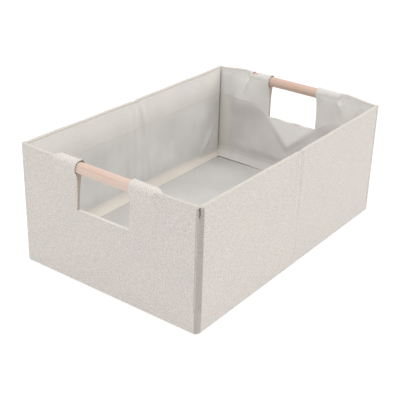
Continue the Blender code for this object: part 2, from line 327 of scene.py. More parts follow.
class Nodes:
    """A material's node tree, built with short calls."""

    def __init__(self, name, roughness, sheen=0.0):
        self.material = bpy.data.materials.new(name)
        self.material.use_nodes = True
        self.tree = self.material.node_tree
        self.shader = self.tree.nodes["Principled BSDF"]
        set_inputs(self.shader, {"Roughness": roughness, "Specular IOR Level": 0.25})
        set_inputs(self.shader, {"Sheen Weight": sheen, "Sheen Roughness": 0.6})

    def add(self, kind, **values):
        node = self.tree.nodes.new(kind)
        for key, value in values.items():
            setattr(node, key, value)
        return node

    def link(self, output, socket):
        self.tree.links.new(output, socket)

    def math(self, operation, a, b=None, c=None):
        node = self.add("ShaderNodeMath", operation=operation)
        for socket, value in zip(node.inputs, (a, b, c)):
            if value is None:
                continue
            if isinstance(value, (int, float)):
                socket.default_value = value
            else:
                self.link(value, socket)
        return node.outputs[0]

    def place(self, source):
        """Coordinates in metres: the cloth's own (weave) or the piece's (object)."""
        if source == "weave":
            return self.add("ShaderNodeUVMap", uv_map="weave").outputs["UV"]
        return self.add("ShaderNodeTexCoord").outputs["Object"]

    def stretched(self, coordinates, scale):
        node = self.add("ShaderNodeMapping")
        set_inputs(node, {"Scale": scale})
        self.link(coordinates, node.inputs["Vector"])
        return node.outputs["Vector"]

    def noise(self, coordinates, scale, detail=2.0, roughness=0.5):
        node = self.add("ShaderNodeTexNoise")
        set_inputs(node, {"Scale": scale, "Detail": detail, "Roughness": roughness})
        self.link(coordinates, node.inputs["Vector"])
        return node.outputs["Fac"]

    def axes(self, place):
        node = self.add("ShaderNodeSeparateXYZ")
        self.link(place, node.inputs[0])
        return node.outputs["X"], node.outputs["Y"]

    def smooth(self, value, low, high, most=1.0):
        """0 at low to most at high."""
        node = self.add("ShaderNodeMapRange", interpolation_type="SMOOTHSTEP")
        set_inputs(node, {"From Min": low, "From Max": high, "To Max": most})
        self.link(value, node.inputs["Value"])
        return node.outputs[0]

    def ramp(self, factor, stops):
        node = self.add("ShaderNodeValToRGB")
        ramp = node.color_ramp
        while len(ramp.elements) < len(stops):
            ramp.elements.new(1.0)
        for element, (position, colour) in zip(ramp.elements, stops):
            element.position = position
            element.color = (*colour, 1.0)
        self.link(factor, node.inputs["Fac"])
        return node.outputs["Color"]

    def tint(self, colour, factor, other, kind="MIX"):
        """colour mixed with other, or times it, by factor."""
        node = self.add("ShaderNodeMix", data_type="RGBA", blend_type=kind)
        if isinstance(factor, float):
            node.inputs[0].default_value = factor
        else:
            self.link(factor, node.inputs[0])
        self.link(colour, node.inputs[6])
        if isinstance(other, tuple):
            node.inputs[7].default_value = (*other, 1.0)
        else:
            self.link(other, node.inputs[7])
        return node.outputs[2]

    def finish(self, colour, height, strength, distance):
        """The material, with its bumps from height."""
        self.link(colour, self.shader.inputs["Base Color"])
        node = self.add("ShaderNodeBump")
        set_inputs(node, {"Strength": strength, "Distance": distance})
        self.link(height, node.inputs["Height"])
        self.link(node.outputs["Normal"], self.shader.inputs["Normal"])
        return self.material


def srgb(*levels):
    """A linear colour from 0 to 255 display levels."""
    return tuple(((v / 255 + 0.055) / 1.055) ** 2.4 for v in levels)


def linen(name, light, dark, period=2.6 * MM, source="weave", speckle=1.25, thread=0.34, hem=None):
    """Plain weave: over and under threads, uneven thread thickness, and slow changes of tone.

    hem is how far along the cloth the facing's hem is, towards which it gets darker as painted shade."""
    m = Nodes(name, roughness=0.92, sheen=0.12)
    place = m.place(source)
    axes = m.axes(place)
    warp, weft = (m.math("SINE", m.math("MULTIPLY", axis, 2 * math.pi / period)) for axis in axes)
    weave = m.math("MULTIPLY", warp, weft)
    grains = ((620, 110, 1), (110, 620, 1))
    slubs = m.math("ADD", *(m.noise(m.stretched(place, grain), 1.0) for grain in grains))
    fuzz = m.noise(place, 560.0, 2.0, 0.8)
    height = m.math("MULTIPLY_ADD", weave, 0.6, m.math("MULTIPLY_ADD", slubs, 0.6, fuzz))
    grain = m.math("MULTIPLY_ADD", fuzz, speckle, 0.2 - speckle / 2)
    tone = m.math("MULTIPLY_ADD", weave, thread, m.math("MULTIPLY_ADD", slubs, 0.30, grain))
    colour = m.ramp(tone, [(0.0, dark), (1.0, light)])
    warm = m.ramp(m.noise(place, 22.0), [(0.35, (0.975, 0.976, 0.984)), (0.65, (1.0, 0.992, 0.980))])
    colour = m.tint(colour, 1.0, warm, "MULTIPLY")
    # painted shade: the cloth darkens towards the facing's hem
    if hem:
        near = m.smooth(axes[1], hem - 26 * MM, hem + 2 * MM)
        colour = m.tint(colour, near, (0.89, 0.888, 0.875), "MULTIPLY")
    return m.finish(colour, height, 0.36, 0.16 * MM)


def nonwoven(name, light, dark, source="weave", roughness=0.72, hem=None, painted_light_share=0.85, painted_point_light=0.0):
    """Pressed fibres: a fine mottle with faint streaks, and no threads.

    hem is a lighter tone mixed in as painted light: near its top, and with painted_point_light in a point
    under the hand hole."""
    m = Nodes(name, roughness=roughness, sheen=0.08)
    place = m.place(source)
    fibres = m.noise(place, 900.0, 4.0, 0.6)
    streaks = m.noise(m.stretched(place, (120, 50, 60)), 1.0, 3.0)
    slow = m.noise(place, 16.0)
    tone = m.math("MULTIPLY_ADD", fibres, 0.40, m.math("MULTIPLY_ADD", streaks, 0.14, slow))
    colour = m.ramp(tone, [(0.45, dark), (1.05, light)])
    # painted light: a lighter tone towards the top, and a lighter point under the hand hole
    if hem:
        x, y = m.axes(place)
        behind = m.smooth(y, *PAINTED_LIGHT_HEIGHTS, painted_light_share)
        if painted_point_light:
            across = m.math("DIVIDE", m.math("ABSOLUTE", x), HOLE_HALF_WIDTH)
            below = m.math("DIVIDE", m.math("SUBTRACT", HOLE_BOTTOM, y), POINT_DEPTH)
            point = m.smooth(m.math("ADD", across, below), 1.15, 0.80, painted_point_light)
            behind = m.math("MAXIMUM", behind, point)
        colour = m.tint(colour, behind, hem)
    return m.finish(colour, fibres, 0.18, 0.08 * MM)


def beech(name, shade=(1.0, 1.0, 1.0)):
    """Sanded beech with its grain along the dowel and short darker flecks. shade darkens the rod, a painted
    shade.
    """
    m = Nodes(name, roughness=0.48)
    place = m.place("object")
    grain = m.noise(m.stretched(place, (420, 9, 420)), 1.0, 4.0, 0.6)
    flecks = m.noise(m.stretched(place, (1500, 110, 1500)), 1.0)
    broad = m.noise(m.stretched(place, (60, 12, 60)), 1.0)
    tones = ((0.30, srgb(210, 182, 168)), (0.55, srgb(219, 197, 184)), (0.75, srgb(224, 205, 194)))
    colour = m.ramp(grain, tones)
    mark = m.ramp(flecks, [(0.60, (0.0, 0.0, 0.0)), (0.72, (0.22, 0.22, 0.22))])
    colour = m.tint(colour, mark, srgb(200, 162, 142))
    warm = m.ramp(broad, [(0.35, (1.0, 0.97, 0.95)), (0.65, (0.99, 1.0, 0.99))])
    colour = m.tint(m.tint(colour, 1.0, warm, "MULTIPLY"), 1.0, shade, "MULTIPLY")
    return m.finish(colour, m.math("ADD", grain, m.math("MULTIPLY", flecks, 0.4)), 0.25, 0.06 * MM)


def millboard(name):
    """Grey-brown board with pressed fibre specks."""
    m = Nodes(name, roughness=0.86)
    place = m.place("object")
    specks = m.noise(place, 650.0, 5.0, 0.7)
    slow = m.noise(place, 35.0)
    colour = m.ramp(specks, [(0.35, srgb(132, 118, 98)), (0.62, srgb(168, 154, 132))])
    colour = m.tint(colour, m.math("MULTIPLY", slow, 0.3), srgb(150, 140, 124))
    return m.finish(colour, specks, 0.3, 0.08 * MM)


THIN = {"speckle": 1.1, "thread": 0.25}
LINEN = linen("linen_outside", srgb(246, 240, 234), srgb(174, 167, 161))
RIM_LINEN = linen("linen_rim", srgb(230, 225, 217), srgb(184, 177, 169), thread=0.25)
# the long walls' facing: the outside linen painted lighter as painted light, and darker towards its hem as
# painted shade
FACING_PAINTED_LIGHT = linen("linen_facing_painted_light", srgb(254, 252, 248), srgb(226, 222, 216), **THIN, hem=COVER_RUN)
# the end walls' facing: the outside linen painted lighter, a painted light
END_FACING_PAINTED_LIGHT = linen("linen_end_facing_painted_light", srgb(247, 245, 242), srgb(217, 214, 210), **THIN)
# a darker copy of the end facing: painted shade on the far end wall's sleeve crests
CREST_LINEN_PAINTED_SHADE = linen("linen_crest_painted_shade", srgb(228, 225, 221), srgb(198, 195, 191), **THIN)
# a lighter copy of the linen: painted light on the hand hole's lower fold
FOLD_LINEN_PAINTED_LIGHT = linen("linen_fold_painted_light", srgb(246, 241, 235), srgb(208, 202, 195))
# a darker copy of the linen: painted shade in the hollow near corner, carried on down the bottom's corner
CORNER_LINEN_PAINTED_SHADE = linen("linen_corner_painted_shade", srgb(209, 203, 195), srgb(158, 151, 144))
TAPE = linen("seam_tape", srgb(226, 220, 210), srgb(196, 190, 180), 1.0 * MM, "object")
# near-black cloth in the near corner's slit under the rim: a painted shadow
SLIT_PAINTED_SHADOW = nonwoven("corner_slit_painted_shadow", srgb(66, 61, 56), srgb(50, 46, 42), roughness=0.95)
# the long walls' lining, painted lighter towards its top as painted light
LINING = nonwoven("lining_nonwoven", srgb(229, 228, 225), srgb(207, 206, 203), hem=srgb(224, 221, 215))
# painted light: the end lining lighter towards its top and in a point under the hand hole
PAINTED_LIGHT_END = {"hem": srgb(242, 240, 237), "painted_light_share": 0.25, "painted_point_light": 0.9}
END_LINING = nonwoven("lining_end_nonwoven", srgb(229, 225, 223), srgb(206, 202, 200), **PAINTED_LIGHT_END)
STRIP = nonwoven("strip_nonwoven", srgb(228, 225, 218), srgb(214, 210, 202))
BAND = nonwoven("band_cream", srgb(238, 232, 222), srgb(222, 215, 204))
BASE = nonwoven("base_nonwoven", srgb(208, 206, 203), srgb(190, 188, 185), "object")
# brown tone of the board's raw edge, darkened further as painted shade for the hand hole's upright sides
RAW_EDGE_PAINTED_SHADE = nonwoven("raw_edge_painted_shade", srgb(190, 178, 166), srgb(166, 154, 142), roughness=0.9)
BEECH = beech("beech_sanded")
# a darker copy of the beech for the far rod: painted shade
BEECH_PAINTED_SHADE = beech("beech_painted_shade", (0.94, 0.885, 0.86))
MILLBOARD = millboard("millboard")


# ---------------- long walls


def rim_path():
    """A wall's section, up, over the rim and down: depth behind the outer face, height, length so far."""
    turn = np.radians(np.linspace(180, 0, FACING_ROW - RIM_ROW + 1))[1:-1]
    up = steps(WALL_FOOT, RIM_ROW, RIM_SPRING)
    down = steps(RIM_SPRING, FACING_ROWS, FACING_BOTTOM)
    depth = np.concatenate([0 * up, RIM_RADIUS * (1 + np.cos(turn)), 0 * down + WALL])
    height = np.concatenate([up, RIM_SPRING + RIM_RADIUS * np.sin(turn), down])
    return depth, height, travelled(depth, height)


def section_grid(section, columns):
    """A section's three numbers and the columns' places, at every point of the sheet."""
    return [lattice(path, columns)[0] for path in section] + [lattice(section[0], columns)[1]]


# How much higher each corner of the rim stands than the CAD's level rim
CORNER_LIFT = {(-1, -1): 1.0 * MM, (-1, 1): 1.6 * MM, (1, -1): -0.2 * MM, (1, 1): -0.2 * MM}
CREASE_SAG = 1.3 * MM
TAUT_RISE = 4.2 * MM


def rim_lifted(points):
    """The rim isn't level: it sags to the middle creases, and is taut up to the right end's sleeves."""
    x, y, z = points[..., 0], points[..., 1], points[..., 2]
    u, v = x / END_FACE, y / SIDE_FACE
    lift = sum(rise * (1 + end * u) * (1 + side * v) / 4 for (end, side), rise in CORNER_LIFT.items())
    on_end = smooth(SIDE_WALL_END, END_FACE - WALL, np.abs(x))
    lift = lift - CREASE_SAG * (1 - np.abs(u)) * (1 - on_end)
    past_sleeve = smooth(SLEEVE_END, RIM_START, np.abs(y))
    lift = lift * (1 - on_end * (1 - past_sleeve))
    taut = past_sleeve * smooth(END_WALL_SPAN, RIM_START, np.abs(y)) * on_end * (x > 0)
    upper = np.clip((z - BAND_TOP) / (RIM_HEIGHT - BAND_TOP), 0, 1) ** 1.5
    return points + np.stack([0 * z, 0 * z, (lift + TAUT_RISE * taut) * upper], -1)


def long_wall_columns():
    """Places along a long wall, closer together at its crease and at its ends."""
    return mirrored(steps(0.0, 8, 4 * MM, 8, 12 * MM, 50, SIDE_WALL_END - 3 * MM, 6, SIDE_WALL_END))


def wall_look(depth, rim=RIM_ROW, facing=FACING_ROW):
    """A cover's materials by row: linen outside, the rolled rim, and the facing inside."""
    rows = np.arange(len(depth) - 1)[:, None]
    return plain(depth) + (rows >= rim) + (rows >= facing)


def crease_wrinkles(along, height):
    """How far the cloth falls back beside the middle crease: the crease itself and fading flutes."""
    away = np.abs(along)
    crease = 0.8 * MM * bell(along, 0.0, 1.9 * MM)
    flutes = 0.8 * MM * np.exp(-away / (26 * MM)) * np.cos(2 * math.pi * along / (12.5 * MM))
    return crease + flutes * smooth(30 * MM, RIM_HEIGHT, height) * (0.5 + smooth(0, 1, away / (6 * MM)) / 2)


def long_inside_relief(along, height, hung):
    """How far a long wall's inner cloth stands off its board, rim to foot."""
    away = np.abs(along)
    corner = SIDE_WALL_END - away
    below = RIM_HEIGHT - height
    flutes = 1.1 * MM * np.exp(-away / (22 * MM)) * np.cos(2 * math.pi * away / (15 * MM))
    flutes = flutes + 2.1 * MM * bell(along - 9 * MM - below * 0.17, 0.0, 2.6 * MM)
    tuck = corner + (height - 44 * MM) * 0.9 - 30 * MM
    tucked = 2.2 * MM * bell(tuck, 0.0, 5 * MM) - 1.2 * MM * bell(tuck, -9 * MM, 5 * MM)
    flutes = flutes + tucked * smooth(70 * MM, 45 * MM, height)
    held = smooth(2 * MM, 20 * MM, below) * smooth(BAND_TOP, BAND_TOP + 16 * MM, height)
    loose = (0.3 * MM + flutes) * held * smooth(0, 18 * MM, corner)
    return loose + 0.75 * hung.at(along, height) - 0.9 * MM * bell(along, 0.0, 1.6 * MM)


def long_wall_cover(name, side, hung, seed):
    """Linen of a whole long wall in one sheet: outside, rolled rim and facing."""
    section = rim_path()
    d, z, t, x = section_grid(section, long_wall_columns())
    corner = SIDE_WALL_END - np.abs(x)
    slack = 0.55 * MM * ripple(x, t, 60 * MM, 45 * MM, seed)
    slack = slack + 0.22 * MM * ripple(x, t, 16 * MM, 30 * MM, seed + 5)
    held = smooth(0, 14 * MM, z - SKIRT_TOP) * smooth(0, 20 * MM, corner)
    outer = crease_wrinkles(x, z) + slack * held + 0.5 * MM * np.exp(-corner / (0.7 * MM))
    inside = smooth(0.3, 0.7, d / WALL)
    d = d + (1 - inside) * outer + inside * long_inside_relief(x, z, hung)
    dip = 1.1 * MM * bell(x, 0.0, 5 * MM) + 0.5 * MM * ripple(x, 0 * x, 55 * MM, 1.0, seed + 9)
    z = z - dip * smooth(RIM_HEIGHT - 12 * MM, RIM_HEIGHT, z)
    points = rim_lifted(np.stack([x, side * (SIDE_FACE - d), z], -1))
    mesh = sheet_mesh(name, [(points, np.stack([x, t], -1), side > 0, wall_look(d))])
    return thicken(add_object(name, mesh, LINEN, RIM_LINEN, FACING_PAINTED_LIGHT), CLOTH), float(section[2][-1])


def foot_flare(height, flare):
    """How far the foot of the lining leans in towards the base."""
    share = np.clip((BAND_TOP - height) / (BAND_TOP - BAND_FOOT), 0, 1)
    return flare * share**1.7


def band_edge(height):
    """How far the band's upper edge stands proud."""
    return 0.35 * MM * smooth(0.9 * MM, 0.2 * MM, np.abs(height - BAND_TOP + 0.4 * MM))


def long_wall_lining(name, side, hung):
    """Lining of a whole long wall, with a cream band at its foot."""
    along = long_wall_columns() * (SIDE_WALL_END - 0.2 * MM) / SIDE_WALL_END
    height = steps(*BAND_ROWS, 26, FACING_BOTTOM - 0.15 * MM)
    z, x = lattice(height, along)
    d = WALL + foot_flare(z, SIDE_FLARE) + long_inside_relief(x, z, hung) + band_edge(z)
    if side > 0:
        drop = BAND_DROP * smooth(SIDE_WALL_END - 100 * MM, SIDE_WALL_END, x)
        z = z - drop * smooth(BAND_FOOT, BAND_TOP, z) * smooth(BAND_TOP + 45 * MM, BAND_TOP, z)
    points = rim_lifted(np.stack([x, side * (SIDE_FACE - d), z], -1))
    look = plain(z) + (height[:-1, None] < BAND_TOP)
    mesh = sheet_mesh(name, [(points, np.stack([x, z], -1), side < 0, look)])
    return thicken(add_object(name, mesh, LINING, BAND), LINING_CLOTH)


def make_long_walls():
    for word, side, seed in (("front", -1, 3.0), ("back", 1, 17.0)):
        hung = HungCloth(SIDE_WALL_END, RIM_HEIGHT - 3 * MM, at_crease, 0.012, seed)
        cover, cut = long_wall_cover(f"{word}_wall_linen", side, hung, seed)
        lining = long_wall_lining(f"{word}_wall_lining", side, hung)
        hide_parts(f"{word}_left_cover", f"{word}_right_cover", f"crease_hinge_{word}")
        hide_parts(f"{word}_left_lining", f"{word}_right_lining")
        for obj, tall in ((cover, cut), (lining, FACING_BOTTOM - WALL_BOTTOM)):
            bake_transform(obj)


# ---------------- end walls


def sleeve_radius(away):
    """The sleeve is looser at its mouth, beside the hand hole."""
    return SLEEVE_RADIUS + 0.9 * MM * np.exp(-(away - HOLE_HALF_WIDTH) / (4 * MM))


def inner_hang(away, height):
    """How far the inner cloth of an end wall hangs clear of its board, from the dowel's back."""
    rise = np.clip((height - HOLE_BOTTOM) / (DOWEL_HEIGHT - HOLE_BOTTOM), 0, 1)
    beside_hole = SLEEVE_BULGE * rise**3.5
    rod = smooth(RIM_START, SLEEVE_END, away)
    over = np.clip((height - FACING_BOTTOM) / (DOWEL_HEIGHT - FACING_BOTTOM), 0, 1)
    hem = HEM_BULGE * smooth(FACING_BOTTOM - 30 * MM, FACING_BOTTOM - 2 * MM, height)
    clear = hem * (1 - over) + SLEEVE_BULGE * over * rod
    share = smooth(HOLE_HALF_WIDTH, FACING_SLOPE_END, away)
    return (beside_hole * (1 - share) + clear * share) * smooth(STRIP_START, 86 * MM, away)


def round_bend(middle, bend, rise):
    """The side of the round that the cloth bends over, which the cloth never cuts into."""
    return middle + np.sign(bend) * np.sqrt(np.maximum(bend**2 - rise**2, 0))


def facing_foot(away):
    """The facing ends lower beside the hand hole."""
    share = np.clip((away - HOLE_HALF_WIDTH) / (FACING_SLOPE_END - HOLE_HALF_WIDTH), 0, 1)
    return HOLE_BOTTOM + (FACING_BOTTOM - HOLE_BOTTOM) * share


def crest_path(away):
    """An end wall's section above HOLE_BOTTOM, from outside to inside, over the sleeve or the rim."""
    middle = WALL / 2
    share = float(smooth(SLEEVE_END, RIM_START, away))
    top = DOWEL_HEIGHT * (1 - share) + RIM_SPRING * share
    bend = sleeve_radius(away) * (1 - share) + RIM_RADIUS * share
    over = np.radians(np.linspace(180, 0, CREST_POINTS + 2))[1:-1]
    up = np.linspace(HOLE_BOTTOM, top, CREST_POINTS)
    down = np.linspace(top, facing_foot(away), CREST_POINTS)
    rise = (up - HOLE_BOTTOM) / (top - HOLE_BOTTOM)
    up_depth = np.minimum((middle - bend) * rise**5.0, round_bend(middle, -bend, up - top))
    joined = np.clip((down - (top - 9 * MM)) / (9 * MM), 0, 1) ** 1.5
    down_depth = np.maximum(WALL + inner_hang(away, down), WALL) * (1 - joined) + (middle + bend) * joined
    down_depth = np.maximum(down_depth, round_bend(middle, bend, down - top))
    depth = np.concatenate([up_depth, middle + bend * np.cos(over), down_depth])
    return depth, np.concatenate([up, top + bend * np.sin(over), down])


def end_wall_columns():
    """Distances from the middle, on one side of it: the hole's half, then from the hole to the corner."""
    hole = steps(0.0, 14, HOLE_HALF_WIDTH - 2 * MM, 5, HOLE_HALF_WIDTH)
    sleeve = (8, HOLE_HALF_WIDTH + 4 * MM, 14, SLEEVE_END - 2 * MM, 10, RIM_START + 2 * MM)
    return hole, steps(HOLE_HALF_WIDTH, *sleeve, 10, END_WALL_SPAN - 2 * MM, 5, END_WALL_SPAN)


def full_width():
    hole, wall = end_wall_columns()
    return mirrored(np.concatenate([hole, wall[1:]]))


def hole_turn(away, height):
    """How far the cloth turns in at the hand hole's edge."""
    off = np.hypot(np.maximum(away - HOLE_HALF_WIDTH, 0), np.maximum(HOLE_BOTTOM - height, 0))
    return 0.8 * MM * np.exp(-off / (0.55 * MM))


def hole_wave(across, height, seed):
    """The hole's lower edge isn't quite straight."""
    wave = 1.5 * MM * ripple(across, 0 * across, 15 * MM, 1.0, seed)
    ends = smooth(0, 8 * MM, HOLE_HALF_WIDTH - np.abs(across))
    return wave * ends * smooth(HOLE_BOTTOM - 14 * MM, HOLE_BOTTOM, height)


def end_outside_slack(across, height, seed):
    slack = 0.5 * MM * ripple(across, height, 50 * MM, 45 * MM, seed)
    slack = slack + 0.2 * MM * ripple(across, height, 15 * MM, 24 * MM, seed + 4)
    held = smooth(0, 14 * MM, height - SKIRT_TOP) * smooth(0, 16 * MM, END_WALL_SPAN - np.abs(across))
    return slack * held


def end_outside(across, height, seed):
    """How far an end wall's outside falls back: its slack, and the turn into the hand hole."""
    away = np.abs(across)
    slack = end_outside_slack(across, height, seed) * (1 - bell(away, HOLE_HALF_WIDTH, 3 * MM))
    return slack + hole_turn(away, height)


def end_inside_relief(across, height, hung):
    """Folds in an end wall's inner cloth, as height towards the inside of the bin."""
    away = np.abs(across)
    under = np.maximum(HOLE_BOTTOM - height, 0)
    # a slack triangle hangs under the hole, between folds that start at its lower corners
    half = HOLE_HALF_WIDTH * (1 - under / POINT_DEPTH)
    tilt = across - 0.12 * under
    inside = smooth(-9 * MM, 3 * MM, half - np.abs(tilt)) * smooth(0, 4 * MM, under)
    triangle = inside * np.minimum(under, POINT_DEPTH) / POINT_DEPTH * 4.6 * MM
    # a fold hangs from the outer end of each sleeve, deeper at the front
    line = away - (SLEEVE_END + 4 * MM + (RIM_HEIGHT - height) * 0.22)
    deep = (2.2 + 1.8 * (across < 0)) * MM
    fold = deep * bell(line, 0.0, 2.8 * MM) - 1.0 * MM * bell(line, -7 * MM, 4 * MM)
    fold = fold * smooth(RIM_HEIGHT - 40 * MM, RIM_HEIGHT - 14 * MM, height)
    # a raised strip beside the corner, and hollows between it and the middle
    strip = 1.3 * MM * smooth(STRIP_START - 2 * MM, STRIP_START + 1 * MM, away)
    edge = smooth(0, 7 * MM, END_WALL_SPAN - away)
    middle = smooth(STRIP_START, STRIP_START - 16 * MM, away)
    return (triangle + hung.at(across, height) * middle + strip) * edge + fold


def end_points(end, d, y, z):
    """Points of an end wall's cloth. The left wall's hand hole was cut a little skew."""
    if end < 0:
        below_dowel = np.clip((DOWEL_HEIGHT - z) / (DOWEL_HEIGHT - HOLE_BOTTOM), 0, 1)
        rise = smooth(BAND_TOP, HOLE_BOTTOM, z) * below_dowel**0.7
        y = y + HOLE_SKEW * rise * smooth(SLEEVE_END, HOLE_HALF_WIDTH, np.abs(y))
    return rim_lifted(np.stack([end * (END_FACE - d), y, z], -1))


def under_hole_grid(end, seed):
    """An end wall's outside up to the hole's lower edge."""
    z, y = lattice(steps(WALL_FOOT, 24, HOLE_BOTTOM - 3 * MM, 6, HOLE_BOTTOM), full_width())
    d = end_outside(y, z, seed)
    points = end_points(end, d, y, z + hole_wave(y, z, seed + 2))
    return points, np.stack([y, z - WALL_FOOT], -1), end < 0, plain(d)


def hole_foot_grid(end, seed):
    """The cloth over the hole's lower edge, from outside to inside."""
    share, y = lattice(steps(0.0, 8, 1.0), mirrored(end_wall_columns()[0]))
    edge = hole_turn(0.0, HOLE_BOTTOM)
    d = edge + share * (WALL - 2 * edge)
    z = HOLE_BOTTOM + hole_wave(y, HOLE_BOTTOM + 0 * y, seed + 2) + 0.35 * MM * np.sin(math.pi * share)
    uv = np.stack([y, HOLE_BOTTOM - WALL_FOOT + d], -1)
    # these faces get the lighter fold linen, a painted light
    return end_points(end, d, y, z), uv, end < 0, plain(d) + FOLD


def beside_hole_grids(end, hand, hung, seed):
    """An end wall beside the hole: outside, crest and facing, and then the hole's upright edge."""
    wall = end_wall_columns()[1]
    d, z = (np.array(part).T for part in zip(*[crest_path(away) for away in wall]))
    y = np.broadcast_to(hand * wall, d.shape)
    away = np.abs(y)
    legs = [np.diff(part, axis=0, prepend=part[:1]) for part in (d, z)]
    uv = np.stack([y, HOLE_BOTTOM - WALL_FOOT + np.cumsum(np.hypot(*legs), axis=0)], -1)
    rows = np.arange(len(d))[:, None]
    facing = 2 * CREST_POINTS
    near_hole = 1 - bell(away, HOLE_HALF_WIDTH, 2.5 * MM)
    fade = smooth(RIM_HEIGHT - 3 * MM, RIM_HEIGHT - 12 * MM, z)
    turned = hole_turn(away, HOLE_BOTTOM + 0 * z)
    outside = end_outside_slack(y, z, seed) * fade * near_hole + turned
    outside = np.where(rows < 1, end_outside(y, z, seed), outside)
    inside = end_inside_relief(y, z, hung) * fade * near_hole - turned
    d = d + np.where(rows < CREST_POINTS - 1, outside, 0.0) + np.where(rows > facing, inside, 0.0)
    if end < 0:
        dip = smooth(RIM_START - 6 * MM, RIM_START + 6 * MM, away) * smooth(118 * MM, 104 * MM, away)
        z = z - 0.8 * MM * dip * (1 - fade)
    look = wall_look(d, CREST_POINTS, facing - 1)
    column = wall[:-1]
    look[CREST_POINTS : facing - 1, column < RIM_START] = 0
    # the far wall's sleeve crests get the darker crest linen, a painted shade
    if end > 0:
        look[CREST_POINTS + 5 : facing - 1, column < RIM_START] = CREST
    if end > 0 and hand > 0:
        slot = (column > SLEEVE_END - 9 * MM) & (column < SLEEVE_END - 1.5 * MM)
        look[CREST_POINTS + 5 : CREST_POINTS + 18, slot] = -1
    cloth = (end_points(end, d, y, z), uv, (end < 0) == (hand > 0), look)

    share = steps(0.0, 6, 1.0)
    height = z[: CREST_POINTS - 3, 0]
    back = np.interp(height, z[:facing:-1, 0], d[:facing:-1, 0])
    d = d[: len(height), :1] * (1 - share) + back[:, None] * share
    z = np.broadcast_to(height[:, None], d.shape)
    y = hand * (HOLE_HALF_WIDTH + 0.25 * MM * np.sin(math.pi * share)) + 0 * d
    uv = np.stack([y - hand * d, z - WALL_FOOT], -1)
    # the hole's upright edge gets the brown raw-edge material, partly painted shade
    return cloth, (end_points(end, d, y, z), uv, (end < 0) == (hand < 0), plain(d) + RAW)


def end_wall_cover(name, end, hung, seed):
    """Linen of an end wall: outside, hand-hole edge, sleeves, rim and facing in one sheet.

    The right wall's back sleeve has the slot that its dowel was put in through."""
    grids = [under_hole_grid(end, seed), hole_foot_grid(end, seed)]
    for hand in (-1, 1):
        grids += beside_hole_grids(end, hand, hung, seed)
    looks = (LINEN, RIM_LINEN, END_FACING_PAINTED_LIGHT, RAW_EDGE_PAINTED_SHADE, FOLD_LINEN_PAINTED_LIGHT, CREST_LINEN_PAINTED_SHADE)
    return thicken(add_object(name, sheet_mesh(name, grids), *looks), CLOTH)


def end_wall_lining(name, end, hung):
    """Lining of an end wall, cut out round the hand hole, with a paler strip at each end."""
    across = full_width() * (END_WALL_SPAN - 0.5 * MM) / END_WALL_SPAN
    top = facing_foot(np.abs(across)) - 0.15 * MM
    low = steps(*BAND_ROWS)
    upper = low[-1] + np.linspace(0, 1, 31)[1:, None] * (top - low[-1])
    z = np.vstack([lattice(low, across)[0], upper])
    y = np.broadcast_to(across, z.shape)
    away = np.abs(y)
    under_hole = smooth(HOLE_HALF_WIDTH + 6 * MM, HOLE_HALF_WIDTH - 1 * MM, away)
    under_hole = under_hole * smooth(5 * MM, 0, HOLE_BOTTOM - z)
    relief = end_inside_relief(y, z, hung) * smooth(0, 12 * MM, z - BAND_TOP) * (1 - under_hole)
    flare = foot_flare(z, END_FLARE + 1.4 * MM * smooth(72 * MM, 30 * MM, y))
    d = WALL + inner_hang(away, z) + relief + flare + band_edge(z)
    look = (np.abs(y[:-1, 1:] + y[:-1, :-1]) / 2 > STRIP_START).astype(int)
    mesh = sheet_mesh(name, [(end_points(end, d, y, z), np.stack([y, z], -1), end > 0, look)])
    return thicken(add_object(name, mesh, END_LINING, STRIP), LINING_CLOTH)


def dowel(name, end):
    """A beech rod with eased ends."""
    sides, ease = 64, 1.2 * MM
    turn = np.radians(np.linspace(0, 90, 6))
    half = [(DOWEL_RADIUS - ease * (1 - math.sin(a)), DOWEL_HALF - ease * (1 - math.cos(a))) for a in turn]
    straight = np.linspace(DOWEL_HALF - ease, -DOWEL_HALF + ease, 40)[1:-1]
    profile = [(0.0, DOWEL_HALF)] + half + [(DOWEL_RADIUS, y) for y in straight]
    profile += [(r, -y) for r, y in reversed(half)] + [(0.0, -DOWEL_HALF)]
    bm = bmesh.new()
    rings = []
    for radius, y in profile:
        ring = []
        for angle in 2 * math.pi * np.arange(sides) / sides:
            x, z = math.cos(angle), math.sin(angle)
            dent = 1 + 0.004 * noise.noise(Vector((x, z, y / (20 * MM) + end * 7)))
            ring.append(bm.verts.new((radius * dent * x, y, radius * dent * z)))
        rings.append(ring)
    for one, other in zip(rings, rings[1:]):
        for i in range(sides):
            after = (i + 1) % sides
            bm.faces.new((one[i], one[after], other[after], other[i]))
    bmesh.ops.remove_doubles(bm, verts=bm.verts, dist=1e-6)
    bmesh.ops.recalc_face_normals(bm, faces=bm.faces)
    mesh = bpy.data.meshes.new(name)
    bm.to_mesh(mesh)
    bm.free()
    mesh.shade_smooth()
    # the far (right) rod gets the darker beech, a painted shade
    obj = add_object(name, mesh, BEECH if end < 0 else BEECH_PAINTED_SHADE)
    obj.location = (end * (END_FACE - WALL / 2), 0.0, DOWEL_HEIGHT)
    return obj


def make_end_walls():
    for word, end, body, seed in (("left", -1, "root", 31.0), ("right", 1, "right_end_wall", 47.0)):
        hung = HungCloth(STRIP_START, RIM_HEIGHT - 5 * MM, round_hole, 0.014, seed)
        cover = end_wall_cover(f"{word}_end_linen", end, hung, seed)
        lining = end_wall_lining(f"{word}_end_lining_cloth", end, hung)
        rod = dowel(f"{word}_dowel_rod", end)
        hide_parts(f"{word}_end_cover")
        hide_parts(f"{word}_end_lining")
        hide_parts(f"{word}_dowel")
        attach(cover, body)
        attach(lining, body)
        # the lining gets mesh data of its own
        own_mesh(lining)
        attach(rod, f"{word}_handle")


# ---------------- corners


